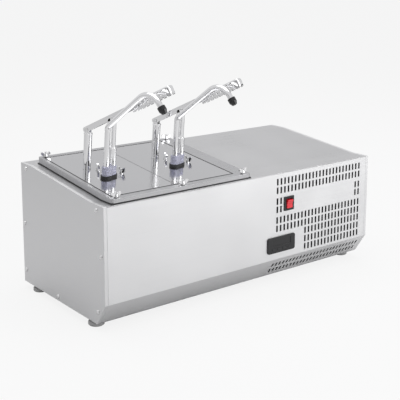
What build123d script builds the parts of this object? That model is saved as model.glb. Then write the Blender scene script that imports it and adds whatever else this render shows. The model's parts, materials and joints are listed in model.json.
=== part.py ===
from build123d import *
import math
import os

# Refrigerated dispenser for two sauces, millimetres.
# While modelling, x runs from the left end, y from the front face to the rear, z up from the table.
# Each node is moved at the end so that the origin lies on the table under the middle of the whole unit.

# Cabinet
length = 700.0
depth = 318.0
front_height = 229.0
rear_rise = 25.0
front_strip = 43.0
rear_strip = 43.0
chamfer_height = 43.5
chamfer_depth = 29.0
sheet = 1.2
base_rail = 12.0
end_flange = 7.0
seam = 0.3

# Feet
foot_height = 14.0
foot_diameter = 31.0
foot_inset_end = 17.0
foot_inset_front = 60.0
foot_inset_rear = 38.0
foot_bolt_diameter = 6.0

# Lid frame
frame_left = 22.0
frame_right = 352.0
frame_front = 6.0
frame_rear_margin = 33.0
frame_rise = 13.5
frame_sheet = 1.5
frame_border_left = 9.0
frame_border_front = 16.0
frame_border_rear = 14.0
ledge_height = 3.0
ledge_width = 5.0
ledge_sheet = 1.5
frame_stud_inset = 14.0
frame_stud_diameter = 5.0
frame_stud_length = 10.0
frame_stud_count = 3

# Lids and pans
lid_width = 143.0
lid_gap = 0.6
lid_sheet = 1.5
pan_gap = 0.8
pan_sheet = 1.2
pan_rim = 6.0
pan_floor_height = 62.0
pan_corner_radius = 16.0
pan_draft = 1.5
pan_lift = 225.0
lid_lift = 200.0
well_floor_height = 48.0
well_corner_radius = 8.0
well_flange = 8.0
insulation_gap = 0.3

# Pumps: places of the two pump centres, and the pump's own plan
pump_left_x = 84.0
pump_right_x = 247.5
pump_y = 115.0
pump_turn = 13.0
tube_spacing = 16.6
column_back = 60.5
column_diameter = 16.0
column_bore = 12.5
column_height = 75.5
pivot_height = 82.0
pivot_diameter = 5.0
tongue_thickness = 9.0
tongue_radius = 4.4
riser_diameter = 11.0
riser_bore = 8.6
riser_height = 102.0
riser_bend_radius = 14.0
spout_rise_angle = 43.0
spout_fall_angle = 46.0
spout_run = 139.0
spout_drop = 46.0
spout_bend_radius = 33.0
nozzle_length = 14.0
nozzle_socket = 6.0
nozzle_tip_diameter = 9.6
nozzle_wall = 2.2
nozzle_hole = 5.0
sleeve_diameter = 14.0
sleeve_height = 58.0
rod_diameter = 9.0
running_fit = 0.08
barrel_diameter = 21.0
barrel_wall = 1.2
barrel_top_depth = 10.0
barrel_length = 136.0
barrel_cap = 4.0
inlet_hole = 7.0
piston_height = 10.0
piston_depth = 22.0
collar_wall = 1.4
collar_height = 18.0
seal_height = 5.0
seal_lip = 1.8
plate_thickness = 3.0
plate_margin = 5.0
pump_stud_diameter = 5.0
pump_stud_height = 10.0
stud_a = (10.0, 40.0)
stud_b = (34.0, 0.0)
spring_wire = 1.6
spring_turns = 7
spring_clearance = 1.0

# Lever
lever_length = 218.0
lever_angle = 31.4
lever_press = 22.0
lever_width = 12.6
lever_rise = 6.5
lever_drop = 4.0
lever_sheet = 1.6
lever_tail = 8.0
lever_pin_drop = 3.0
lever_lug_drop = 10.0
lever_lug_reach = 9.0
rod_pin_diameter = 4.5
rod_pin_clearance = 1.25
grip_length = 94.0
grip_width = 17.0
grip_height = 18.0
grip_hole = 4.6
grip_hole_rows = 2
grip_hole_columns = 8
grip_notch = 3.0

# Wing nuts
nut_hub_diameter = 9.0
nut_hub_height = 6.0
frame_nut_span = 21.0
frame_nut_height = 10.0
pump_nut_span = 19.0
pump_nut_height = 13.0
nut_wing_thickness = 3.6
nut_bore_clearance = 0.1
frame_nut_turns = (4.0, -8.0, 9.0, -5.0, 7.0, -9.0)

# Front grille
slot_width = 4.8
slot_height = 14.0
slot_pitch = 10.34
slots_from_right = 277.6
slot_columns = 25
slot_rows_upper = (210.4, 191.9)
slot_rows_switch = (168.7, 151.0)
slot_rows_lower = (128.0, 109.9)
slot_rows_controller = (92.0, 73.4, 55.7)
slot_side_columns = 2
slot_first_controller_column = 8
toe_slot_columns = 26
toe_slots_from_right = 279.0
toe_slot_height = 11.5
toe_slot_rows = (15.7, 33.7)

# Rear and floor vents
rear_slot_width = 5.0
rear_slot_height = 34.0
rear_slot_pitch = 11.0
rear_slot_columns = 14
rear_slot_rows = (60.0, 104.0, 148.0)
floor_slot_width = 6.0
floor_slot_length = 60.0
floor_slot_pitch = 16.0
floor_slot_count = 6
floor_slot_start = 90.0

# Controller and switch
controller_from_right = 265.7
controller_z = 75.7
controller_width = 78.0
controller_height = 35.0
controller_rim = 3.2
controller_rim_thickness = 2.6
controller_body_depth = 58.0
controller_corner = 5.0
controller_button_count = 4
controller_button_width = 9.0
controller_button_height = 4.6
controller_button_proud = 0.8
controller_button_travel = 0.7
controller_button_pitch = 15.0
controller_button_drop = 9.5
controller_button_gap = 0.25
display_width = 52.0
display_height = 14.0
display_rise = 5.0
display_recess = 0.8
switch_from_right = 245.0
switch_z = 160.6
switch_width = 27.5
switch_height = 31.0
switch_rim = 3.6
switch_rim_thickness = 2.2
switch_body_depth = 24.0
switch_wall = 1.4
rocker_gap = 0.4
rocker_throw = 8.0
rocker_proud = 3.2
rocker_radius = 13.0
rocker_axis_y = 5.0
panel_cutout_gap = 0.3

# End panel screws
screw_head_diameter = 9.5
screw_head_height = 2.8
screw_shank_diameter = 4.0
screw_shank_length = 6.0

# Machine compartment
bulkhead_gap = 10.0
bulkhead_foot = 14.0
bulkhead_foot_inset = 12.0
compressor_from_bulkhead = 88.0
compressor_fan_gap = 4.0
compressor_diameter = 104.0
compressor_height = 124.0
compressor_stand = 14.0
compressor_seam_height = 4.0
compressor_seam_lip = 4.0
compressor_plate_length = 150.0
compressor_plate_width = 96.0
compressor_plate_thickness = 2.5
condenser_from_right = 130.0
condenser_width = 160.0
condenser_height = 170.0
condenser_thickness = 32.0
condenser_rear_gap = 16.0
condenser_lift = 16.0
condenser_fins = 20
condenser_fin_sheet = 0.8
condenser_side_sheet = 1.5
condenser_tube_diameter = 8.0
condenser_tube_rows = 5
fan_thickness = 32.0
fan_opening = 146.0
fan_hub_diameter = 46.0
fan_motor_diameter = 40.0
fan_blade_count = 5
fan_blade_clearance = 3.0
fan_blade_pitch = 32.0
fan_blade_sheet = 1.8
fan_shaft_diameter = 6.0
pipe_diameter = 6.4
coil_diameter = 8.0
coil_runs = 6
coil_pitch = 24.0
coil_run_length = 170.0
suction_y = 238.0
suction_rise = 150.0

# Power inlet
inlet_from_right = 290.0
inlet_z = 36.0
inlet_width = 30.0
inlet_height = 24.0
inlet_flange = 10.0
inlet_flange_thickness = 2.0
inlet_depth = 20.0
inlet_pin_spacing = 7.0
inlet_pin_width = 2.0
inlet_pin_height = 4.0

# Derived places
floor_z = foot_height
rear_height = front_height + rear_rise
cutter_top = floor_z + rear_height + 130.0
frame_rear = depth - frame_rear_margin
screw_places = (
    (depth - 21.5, rear_height - 9.3),
    (24.8, front_height - 10.3),
    (depth - 8.4, 127.4),
    (10.8, 133.8),
    (depth - 9.6, 27.1),
    (175.1, 8.5),
    (24.8, 25.5),
)
slot_first_x = length - slots_from_right
toe_slot_first_x = length - toe_slots_from_right
controller_x = length - controller_from_right
switch_x = length - switch_from_right
bulkhead_x = frame_right + bulkhead_gap
condenser_x = length - condenser_from_right
rear_slot_first_x = condenser_x - (rear_slot_columns - 1) / 2 * rear_slot_pitch
inlet_x = length - inlet_from_right
compressor_x = bulkhead_x + compressor_from_bulkhead
fan_front = depth - condenser_rear_gap - condenser_thickness - fan_thickness
compressor_y = fan_front - compressor_fan_gap - compressor_seam_lip - compressor_diameter / 2
deck_slope = math.atan2(rear_rise, depth - front_strip - rear_strip)
lid_left_edges = (frame_left + frame_border_left, frame_left + frame_border_left + lid_width)
opening_left = lid_left_edges[0]
opening_right = lid_left_edges[1] + lid_width
opening_front = frame_front + frame_border_front
opening_rear = frame_rear - frame_border_rear
pump_places = (pump_left_x, pump_right_x)
pump_names = ("left", "right")
half_spacing = tube_spacing / 2
lever_heading = math.degrees(math.atan2(half_spacing, column_back))
lever_arm = math.hypot(half_spacing, column_back)
frame_nut_lift = nut_hub_diameter / 2 * math.tan(deck_slope) + 0.05
suction_z = floor_z + suction_rise


def rod_pin_rise(angle):
    """Height of the rod's pin above the lever pivot, for a lever at this angle to the lid."""
    a = math.radians(angle)
    return (lever_arm * math.sin(a) - lever_pin_drop) / math.cos(a)


def rod_pin_reach(angle):
    """Distance of the rod's pin from the pivot along the lever."""
    a = math.radians(angle)
    return lever_arm * math.cos(a) + rod_pin_rise(angle) * math.sin(a)


rod_pin_height = pivot_height + rod_pin_rise(lever_angle)
rod_stroke = rod_pin_rise(lever_angle) - rod_pin_rise(lever_angle - lever_press)


def deck_z(y):
    """Height of the sloped deck plane, also where it is extended over the flat front strip."""
    return floor_z + front_height + math.tan(deck_slope) * (y - front_strip)


def surface_z(y):
    """Height of the top skin at y, flat strips included."""
    return min(max(deck_z(y), floor_z + front_height), floor_z + rear_height)


# Helpers
def block(x0, x1, y0, y1, z0, z1):
    return Location(((x0 + x1) / 2, (y0 + y1) / 2, (z0 + z1) / 2)) * Box(x1 - x0, y1 - y0, z1 - z0)


def along_x(points, x0, x1):
    """Prism from an outline of (y, z) points, between two x values."""
    outline = make_face(Polyline(*points, close=True))
    return Location((x0, 0, 0)) * extrude(Plane.YZ * outline, amount=x1 - x0)


def slab(x0, x1, y0, y1, h0, h1):
    """Block with upright sides whose top and bottom follow the sloped deck at heights h0 and h1."""
    points = [(y0, deck_z(y0) + h0), (y1, deck_z(y1) + h0), (y1, deck_z(y1) + h1), (y0, deck_z(y0) + h1)]
    return along_x(points, x0, x1)


def cylinder_z(diameter, z0, z1, x=0.0, y=0.0):
    return Location((x, y, (z0 + z1) / 2)) * Cylinder(diameter / 2, z1 - z0)


def cylinder_x(diameter, x0, x1, y=0.0, z=0.0):
    return Location(((x0 + x1) / 2, y, z), (0, 90, 0)) * Cylinder(diameter / 2, x1 - x0)


def cylinder_y(diameter, y0, y1, x=0.0, z=0.0):
    return Location((x, (y0 + y1) / 2, z), (90, 0, 0)) * Cylinder(diameter / 2, y1 - y0)


def turned(points):
    """Body of revolution about Z from an outline of (radius, z) points."""
    return revolve(Plane.XZ * make_face(Polyline(*points, close=True)), Axis.Z)


def bent_tube(points, radii, diameter):
    """Round bar along straight runs joined by tangent arcs."""
    path = FilletPolyline(*points, radius=radii)
    start = Plane(origin=path @ 0, z_dir=path % 0)
    return sweep(start * Circle(diameter / 2), path=path)


# Cabinet skins
def cabinet_section(inset):
    points = [
        (chamfer_depth, floor_z),
        (0, floor_z + chamfer_height),
        (0, floor_z + front_height),
        (front_strip, floor_z + front_height),
        (depth - rear_strip, floor_z + rear_height),
        (depth, floor_z + rear_height),
        (depth, floor_z),
    ]
    outline = make_face(Polyline(*points, close=True))
    if inset > 0:
        outline = offset(outline, -inset, kind=Kind.INTERSECTION)
    return outline


def cabinet_prism(inset, x0, x1):
    return Location((x0, 0, 0)) * extrude(Plane.YZ * cabinet_section(inset), amount=x1 - x0)


def cabinet_skin(inset, thickness, x0, x1):
    return cabinet_prism(inset, x0, x1) - cabinet_prism(inset + thickness, x0 - 1, x1 + 1)


skin_left = end_flange + seam
skin_right = length - end_flange - seam
skin = cabinet_skin(0, sheet, skin_left, skin_right)
top_edge = floor_z + front_height - sheet
bottom_edge = floor_z + sheet


def panel_screws(x_outer, direction):
    """Domed screws of one end panel; direction +1 points into the cabinet."""
    screws = []
    head = [(0, 0), (screw_head_diameter / 2, 0), (screw_head_diameter / 2 * 0.92, -screw_head_height * 0.55),
            (screw_head_diameter / 2 * 0.55, -screw_head_height), (0, -screw_head_height)]
    body = turned(head) + cylinder_z(screw_shank_diameter, 0, screw_shank_length)
    for y, z in screw_places:
        place = Plane(origin=(x_outer, y, z + floor_z), z_dir=(direction, 0, 0))
        screws.append(place * body)
    return screws


def end_panel(x_outer, direction):
    near, far = sorted((x_outer, x_outer + direction * sheet))
    web = cabinet_prism(0, near, far)
    near, far = sorted((x_outer, x_outer + direction * end_flange))
    panel = web + cabinet_skin(0, sheet, near, far)
    for y, z in screw_places:
        panel -= cylinder_x(screw_shank_diameter + 0.2, near, far, y, z + floor_z)
    return panel


def front_slots():
    """Upright vent slots of the front panel, left clear around the switch, the controller and a bare field."""
    last = slot_columns - slot_side_columns
    rows = [(z, range(slot_columns)) for z in slot_rows_upper + slot_rows_lower]
    sides = list(range(slot_side_columns)) + list(range(last, slot_columns))
    rows += [(z, sides) for z in slot_rows_switch]
    rows += [(z, range(slot_first_controller_column, slot_columns)) for z in slot_rows_controller]
    slots = []
    for z, columns in rows:
        for column in columns:
            x = slot_first_x + column * slot_pitch
            slots.append(Location((x, 0, z + floor_z)) * Box(slot_width, 6, slot_height))
    return slots


def toe_slots():
    """Slots in the sloped toe of the front panel."""
    toe_angle = math.atan2(chamfer_height, chamfer_depth)
    slots = []
    for row in toe_slot_rows:
        y = chamfer_depth - row * math.cos(toe_angle)
        z = floor_z + row * math.sin(toe_angle)
        for column in range(toe_slot_columns):
            x = toe_slot_first_x + column * slot_pitch
            tilt = math.degrees(toe_angle) - 90
            slots.append(Location((x, y, z), (-tilt, 0, 0)) * Box(slot_width, 6, toe_slot_height))
    return slots


def make_front_panel():
    panel = skin & block(0, length, -1, chamfer_depth - sheet, bottom_edge + seam, top_edge - seam)
    fold_depth = 14.0
    fold_top = top_edge - seam
    panel += block(skin_left, skin_right, 0, fold_depth, fold_top - sheet, fold_top)
    panel -= front_slots()
    panel -= toe_slots()
    gap = panel_cutout_gap
    body = controller_rim
    half_w = controller_width / 2 - body + gap
    half_h = controller_height / 2 - body + gap
    z = controller_z + floor_z
    panel -= block(controller_x - half_w, controller_x + half_w, -1, 5, z - half_h, z + half_h)
    half_w = switch_width / 2 - switch_rim + gap
    half_h = switch_height / 2 - switch_rim + gap
    z = switch_z + floor_z
    panel -= block(switch_x - half_w, switch_x + half_w, -1, 5, z - half_h, z + half_h)
    return panel


def make_top_deck():
    deck = skin & block(0, length, -1, depth + 1, top_edge, floor_z + rear_height + 1)
    deck -= block(0, length, depth - sheet, depth + 1, 0, floor_z + rear_height - sheet)
    deck -= block(opening_left, opening_right, opening_front, opening_rear, 0, cutter_top)
    for x, y in frame_stud_places():
        base = surface_z(y)
        deck += cylinder_z(frame_stud_diameter, base - sheet / 2, deck_z(y) + frame_rise + frame_stud_length, x, y)
    return deck


def frame_stud_places():
    first = frame_left + frame_stud_inset
    last = frame_right - frame_stud_inset
    step = (last - first) / (frame_stud_count - 1)
    rows = (frame_front + frame_border_front / 2, frame_rear - frame_border_rear / 2)
    return [(first + i * step, y) for y in rows for i in range(frame_stud_count)]


def make_back_panel():
    low = bottom_edge + seam
    high = floor_z + rear_height - sheet - seam
    panel = skin & block(0, length, depth - sheet, depth + 1, low, high)
    for row in rear_slot_rows:
        for column in range(rear_slot_columns):
            x = rear_slot_first_x + column * rear_slot_pitch
            panel -= Location((x, depth, row + floor_z)) * Box(rear_slot_width, 6, rear_slot_height)
    half_w = inlet_width / 2 + panel_cutout_gap
    half_h = inlet_height / 2 + panel_cutout_gap
    z = inlet_z + floor_z
    panel -= block(inlet_x - half_w, inlet_x + half_w, depth - 5, depth + 5, z - half_h, z + half_h)
    return panel


def foot_places():
    xs = (foot_inset_end, length - foot_inset_end)
    ys = (foot_inset_front, depth - foot_inset_rear)
    return [(x, y) for y in ys for x in xs]


def make_base_pan():
    pan = skin & block(0, length, -1, depth + 1, floor_z - 1, bottom_edge)
    rail_rear = depth - sheet - seam
    pan += block(skin_left, skin_right, rail_rear - sheet, rail_rear, floor_z, floor_z + base_rail)
    for x, y in foot_places():
        tab_half = foot_diameter / 2
        side = skin_left if x < length / 2 else skin_right
        near, far = sorted((side, x + (tab_half if x < length / 2 else -tab_half)))
        pan += block(near, far, y - tab_half, y + tab_half, bottom_edge, bottom_edge + sheet)
        pan -= cylinder_z(foot_bolt_diameter + 0.4, floor_z - 1, bottom_edge + 2 * sheet, x, y)
    for i in range(floor_slot_count):
        x = condenser_x + (i - (floor_slot_count - 1) / 2) * floor_slot_pitch
        pan -= block(x - floor_slot_width / 2, x + floor_slot_width / 2, floor_slot_start,
                     floor_slot_start + floor_slot_length, 0, floor_z + base_rail)
    return pan


def make_feet():
    r = foot_diameter / 2
    outline = [(0, 0), (r - 1.5, 0), (r, 1.5), (r, 6.5), (r - 1.5, 8), (9, 9.5), (7.5, foot_height), (0, foot_height)]
    foot = turned(outline) + cylinder_z(foot_bolt_diameter, foot_height, foot_height + 9)
    foot += Location((0, 0, foot_height + 2 * sheet + 2.5)) * extrude(RegularPolygon(5.5, 6), amount=4)
    return [Location((x, y, 0)) * foot for x, y in foot_places()]


# Cold well
def make_well():
    wall = sheet
    high = cutter_top
    outer = block(opening_left - wall, opening_right + wall, opening_front - wall, opening_rear + wall,
                  floor_z + well_floor_height, high)
    outer = fillet(outer.edges().filter_by(Axis.Z), well_corner_radius)
    inner = block(opening_left, opening_right, opening_front, opening_rear,
                  floor_z + well_floor_height + wall, high)
    inner = fillet(inner.edges().filter_by(Axis.Z), well_corner_radius - wall)
    flange = block(opening_left - well_flange, opening_right + well_flange, opening_front - well_flange,
                   opening_rear + well_flange, 0, high)
    under_deck = cabinet_prism(sheet, 0, length)
    flange = (flange & under_deck) - cabinet_prism(2 * sheet, -1, length + 1)
    flange = flange & block(0, length, 0, depth, top_edge - sheet - 1, high)
    return (outer & under_deck) + flange - inner


def make_insulation():
    wall = sheet + insulation_gap
    foam = cabinet_prism(2 * sheet + insulation_gap + 2, end_flange + insulation_gap, bulkhead_x - insulation_gap)
    foam -= block(0, length, 0, depth, 0, floor_z + 2 * sheet + foot_diameter / 4)
    foam -= block(opening_left - wall, opening_right + wall, opening_front - wall, opening_rear + wall,
                  floor_z + well_floor_height - insulation_gap, cutter_top)
    recess = coil_box(3.0)
    foam -= recess
    return foam


def coil_box(margin):
    half = coil_run_length / 2 + coil_pitch / 2 + coil_diameter
    centre_y = (opening_front + opening_rear) / 2
    low = floor_z + well_floor_height + 8
    high = low + coil_pitch * (coil_runs - 1) + coil_diameter
    x0 = opening_right + sheet
    return block(x0, x0 + coil_diameter + 2 * margin, centre_y - half - margin, centre_y + half + margin,
                 low - margin, high + margin)


def make_evaporator_coil():
    """Serpentine tube on the right wall of the well."""
    x = opening_right + sheet + coil_diameter / 2 + 0.1
    centre_y = (opening_front + opening_rear) / 2
    low = floor_z + well_floor_height + 8 + coil_diameter / 2
    half = coil_run_length / 2
    radius = coil_pitch / 2
    coil = None
    for run in range(coil_runs):
        z = low + run * coil_pitch
        piece = cylinder_y(coil_diameter, centre_y - half, centre_y + half, x, z)
        coil = piece if coil is None else coil + piece
        if run < coil_runs - 1:
            side = 1 if run % 2 == 0 else -1
            end_y = centre_y + side * half
            ring = Location((x, end_y, z + radius), (0, 90, 0)) * Torus(radius, coil_diameter / 2)
            near, far = sorted((end_y, end_y + side * (radius + coil_diameter)))
            coil += ring & block(x - coil_diameter, x + coil_diameter, near, far, z - coil_diameter,
                                 z + coil_pitch + coil_diameter)
    return coil


# Lid frame
def make_lid_frame():
    def curb(inset, drop):
        y0 = frame_front + inset
        y1 = frame_rear - inset
        top = frame_rise - drop
        points = [(y0, surface_z(y0)), (front_strip, surface_z(front_strip)), (depth - rear_strip, surface_z(y1)),
                  (y1, surface_z(y1)), (y1, deck_z(y1) + top), (y0, deck_z(y0) + top)]
        return along_x(points, frame_left + inset, frame_right - inset)

    outer = curb(0, 0)
    outer = fillet(outer.edges().filter_by(Axis.Z), 5)
    hollow = curb(frame_sheet, frame_sheet)
    t = frame_sheet
    walls = block(opening_left - t, opening_right + t, opening_front - t, opening_rear + t, 0, cutter_top)
    opening = block(opening_left, opening_right, opening_front, opening_rear, 0, cutter_top)
    frame = outer - (hollow - walls) - opening
    for x, y in frame_stud_places():
        frame -= cylinder_z(frame_stud_diameter + 0.6, 0, cutter_top, x, y)
    return frame


def make_pan_ledge():
    """Sheet welded inside the frame's walls, with a window for each pan; the pans' rims rest on it."""
    ledge = slab(opening_left, opening_right, opening_front, opening_rear, ledge_height, ledge_height + ledge_sheet)
    for left in lid_left_edges:
        ledge -= block(left + ledge_width, left + lid_width - ledge_width, opening_front + ledge_width,
                       opening_rear - ledge_width, 0, cutter_top)
    return ledge


# Pans and lids
def compartment(index, gap):
    left = lid_left_edges[index]
    return left + gap, left + lid_width - gap, opening_front + gap, opening_rear - gap


def make_pan(index):
    x0, x1, y0, y1 = compartment(index, pan_gap)
    rim_low = ledge_height + ledge_sheet
    rim = slab(x0, x1, y0, y1, rim_low, rim_low + pan_sheet)

    def bowl(inset, floor):
        wx = x1 - x0 - 2 * (pan_rim + inset)
        wy = y1 - y0 - 2 * (pan_rim + inset)
        base = Location(((x0 + x1) / 2, (y0 + y1) / 2, deck_z(y1) + 20)) * RectangleRounded(
            wx, wy, pan_corner_radius - inset)
        height = deck_z(y1) + 20 - floor
        return extrude(base, amount=-height, taper=pan_draft)

    floor = floor_z + pan_floor_height
    above = slab(x0 - 50, x1 + 50, y0 - 50, y1 + 50, rim_low + pan_sheet, 200)
    pan = (bowl(0, floor) - above) + rim
    return pan - bowl(pan_sheet, floor + pan_sheet)


def pump_plane(index):
    """Frame of one pump: on the lid's top face, z square to the lid, turned about that axis."""
    x = pump_places[index]
    z = deck_z(pump_y) + frame_rise
    tilt = math.degrees(deck_slope)
    lid_plane = Plane(origin=(x, pump_y, z), x_dir=(1, 0, 0),
                      z_dir=(0, -math.sin(deck_slope), math.cos(deck_slope)))
    return Plane(lid_plane.location * Location((0, 0, 0), (0, 0, pump_turn)))


def lever_plane(index):
    """Frame of the lever at its pivot: x is the pin axis, y points along the lever at rest."""
    base = Location((0, column_back, pivot_height)) * Location((0, 0, 0), (0, 0, 180 + lever_heading))
    tilt = Location((0, 0, 0), (lever_angle, 0, 0))
    return pump_plane(index).location * base * tilt


def stadium(radius, z0, z1):
    """Upright body round the riser and the sleeve."""
    shape = SlotCenterToCenter(tube_spacing, 2 * radius)
    return Location((0, 0, z0)) * extrude(shape, amount=z1 - z0)


def make_lid(index):
    x0, x1, y0, y1 = compartment(index, lid_gap)
    low = ledge_height + ledge_sheet + pan_sheet
    outer = slab(x0, x1, y0, y1, low, frame_rise)
    outer = fillet(outer.edges().filter_by(Axis.Z), 2)
    s = lid_sheet
    lid = outer - slab(x0 + s, x1 - s, y0 + s, y1 - s, low - 1, frame_rise - s)
    place = pump_plane(index).location
    clearance = 0.5
    holes = [
        cylinder_z(column_diameter + clearance, -10, 10, 0, column_back),
        cylinder_z(riser_diameter + clearance, -10, 10, -half_spacing, 0),
        cylinder_z(sleeve_diameter + clearance, -10, 10, half_spacing, 0),
        cylinder_z(pump_stud_diameter + clearance, -10, 10, *stud_a),
        cylinder_z(pump_stud_diameter + clearance, -10, 10, *stud_b),
    ]
    for hole in holes:
        lid -= place * hole
    return lid


def make_pump_mount(index):
    """Plate under the lid with its two studs, and the rear column that carries the lever."""
    top = -lid_sheet
    low = top - plate_thickness
    spots = [(0, column_back, column_diameter / 2 + plate_margin),
             (-half_spacing, 0, sleeve_diameter / 2 + plate_margin),
             (stud_b[0], stud_b[1], pump_stud_diameter + plate_margin / 2)]
    outline = Sketch() + [Location((x, y)) * Circle(r) for x, y, r in spots]
    hull = make_hull(outline.edges())
    plate = Location((0, 0, low)) * extrude(hull, amount=plate_thickness)
    plate -= cylinder_z(riser_diameter + 0.4, low - 1, 1, -half_spacing, 0)
    plate -= cylinder_z(sleeve_diameter + 0.4, low - 1, 1, half_spacing, 0)
    column = cylinder_z(column_diameter, low + plate_thickness / 2, column_height, 0, column_back)
    column -= cylinder_z(column_bore, top, column_height - 4, 0, column_back)
    bead = turned([(0, column_height - 3), (column_diameter / 2 + 0.8, column_height - 3),
                   (column_diameter / 2 + 0.8, column_height - 1), (0, column_height - 1)])
    column += Location((0, column_back, 0)) * bead
    half_tongue = tongue_thickness / 2
    tongue = block(-half_tongue, half_tongue, -tongue_radius, tongue_radius, column_height - 2, pivot_height)
    tongue += cylinder_x(2 * tongue_radius, -half_tongue, half_tongue, 0, pivot_height)
    tongue -= cylinder_x(pivot_diameter + 2 * running_fit, -10, 10, 0, pivot_height)
    column += Location((0, column_back, 0), (0, 0, lever_heading)) * tongue
    mount = plate + column
    for x, y in (stud_a, stud_b):
        mount += cylinder_z(pump_stud_diameter, low, pump_stud_height, x, y)
    return pump_plane(index).location * mount


def make_lever_pin(index):
    half = lever_width / 2
    head = 1.4
    pin = cylinder_x(pivot_diameter, -half - head, half + head)
    pin += cylinder_x(pivot_diameter + 2.6, -half - 0.2 - head, -half - 0.2)
    pin += cylinder_x(pivot_diameter + 2.6, half + 0.2, half + 0.2 + head)
    return lever_plane(index) * pin


def make_cylinder(index):
    """Sleeve above the lid, barrel below it and the foot block that joins barrel and riser."""
    top = -lid_sheet - plate_thickness
    barrel_top = -barrel_top_depth
    low = barrel_top - barrel_length
    r = barrel_diameter / 2
    bore = r - barrel_wall
    guide = rod_diameter / 2 + running_fit
    outline = [
        (guide, sleeve_height), (sleeve_diameter / 2 - 0.8, sleeve_height), (sleeve_diameter / 2, sleeve_height - 0.8),
        (sleeve_diameter / 2, barrel_top), (r, barrel_top - 1.5), (r, low), (inlet_hole / 2, low),
        (inlet_hole / 2, low + barrel_cap), (bore, low + barrel_cap), (bore, barrel_top - 3), (guide, barrel_top - 3),
    ]
    body = Location((half_spacing, 0, 0)) * turned(outline)
    block_top = low + 12
    riser_radius = riser_diameter / 2
    foot = Location((0, 0, low)) * extrude(SlotCenterToCenter(tube_spacing, riser_diameter + 3), amount=12)
    foot -= Location((half_spacing, 0, 0)) * cylinder_z(2 * bore + barrel_wall, low - 1, block_top + 1)
    foot -= cylinder_z(riser_diameter + 0.1, low + 4, block_top + 1, -half_spacing, 0)
    passage = cylinder_x(riser_bore * 0.6, -half_spacing, half_spacing - bore + 1, 0, low + barrel_cap + 3.5)
    cylinder = body + foot
    cylinder -= passage
    cylinder -= cylinder_z(riser_bore, low + barrel_cap, low + 6, -half_spacing, 0)
    return pump_plane(index).location * cylinder


def spout_corners():
    low = -barrel_top_depth - barrel_length + 4
    rise = math.radians(spout_rise_angle)
    fall = math.radians(spout_fall_angle)
    first = (-half_spacing, 0, riser_height)
    apex = (-half_spacing, -spout_run * math.cos(rise), riser_height + spout_run * math.sin(rise))
    end = (-half_spacing, apex[1] - spout_drop * math.cos(fall), apex[2] - spout_drop * math.sin(fall))
    return [(-half_spacing, 0, low), first, apex, end]


def make_spout(index):
    radii = [riser_bend_radius, spout_bend_radius]
    corners = spout_corners()
    tube = bent_tube(corners, radii, riser_diameter) - bent_tube(corners, radii, riser_bore)
    return pump_plane(index).location * tube


def make_nozzle(index):
    end = spout_corners()[-1]
    fall = math.radians(spout_fall_angle)
    axis = Plane(origin=end, x_dir=(1, 0, 0), z_dir=(0, -math.cos(fall), -math.sin(fall)))
    r = riser_diameter / 2
    outline = [
        (r + 0.05, -nozzle_socket), (r + nozzle_wall, -nozzle_socket), (r + nozzle_wall, 2),
        (nozzle_tip_diameter / 2, nozzle_length - nozzle_socket), (nozzle_hole / 2, nozzle_length - nozzle_socket),
        (nozzle_hole / 2, 3), (riser_bore / 2, 0), (r + 0.05, 0),
    ]
    return pump_plane(index).location * axis.location * turned(outline)


def make_collar(index):
    r = sleeve_diameter / 2 + collar_wall
    low = seal_height
    body = stadium(r, low, low + collar_height)
    body = fillet(body.faces().sort_by(Axis.Z)[-1].edges(), 1)
    body -= cylinder_z(riser_diameter + 0.1, low - 1, low + collar_height + 1, -half_spacing, 0)
    body -= cylinder_z(sleeve_diameter + 0.1, low - 1, low + collar_height + 1, half_spacing, 0)
    return pump_plane(index).location * body


def make_seals(index):
    """Rubber seal under the collar, round the riser and the sleeve."""
    r = sleeve_diameter / 2 + collar_wall + seal_lip
    body = stadium(r, 0, seal_height)
    body -= cylinder_z(riser_diameter + 0.1, -1, seal_height + 1, -half_spacing, 0)
    body -= cylinder_z(sleeve_diameter + 0.1, -1, seal_height + 1, half_spacing, 0)
    return pump_plane(index).location * body


def make_piston_rod(index):
    """Rod with its cross pin at the top and the piston at its lower end."""
    piston_top = -piston_depth
    piston_low = piston_top - piston_height
    bore = barrel_diameter / 2 - barrel_wall
    eye_radius = 4.2
    rod = cylinder_z(rod_diameter, piston_low + 2, rod_pin_height)
    eye = cylinder_x(2 * eye_radius, -rod_diameter / 2, rod_diameter / 2, 0, rod_pin_height)
    pin = cylinder_x(rod_pin_diameter, -lever_width / 2 - 1.2, lever_width / 2 + 1.2, 0, rod_pin_height)
    head = Location((0, 0, 0), (0, 0, lever_heading)) * (eye + pin)
    r = bore - running_fit
    piston = turned([(0, piston_low), (r - 2, piston_low), (r, piston_low + 2), (r, piston_low + 3.5),
                     (r - 1, piston_low + 4.5), (r - 1, piston_top - 3), (r, piston_top - 2), (r, piston_top),
                     (0, piston_top)])
    body = rod + head + piston
    return pump_plane(index).location * (Location((half_spacing, 0, 0)) * body)


def make_spring(index):
    """Return spring between the piston and the barrel's foot."""
    low = -barrel_top_depth - barrel_length + barrel_cap + spring_wire / 2 + 0.1
    high = -piston_depth - piston_height - spring_wire / 2 - 0.1
    radius = barrel_diameter / 2 - barrel_wall - spring_clearance - spring_wire / 2
    helix = Helix(pitch=(high - low) / spring_turns, height=high - low, radius=radius)
    wire = Plane(origin=helix @ 0, z_dir=helix % 0) * Rectangle(spring_wire, spring_wire)
    coil = sweep(wire, path=helix)
    return pump_plane(index).location * (Location((half_spacing, 0, low)) * coil)


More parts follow.
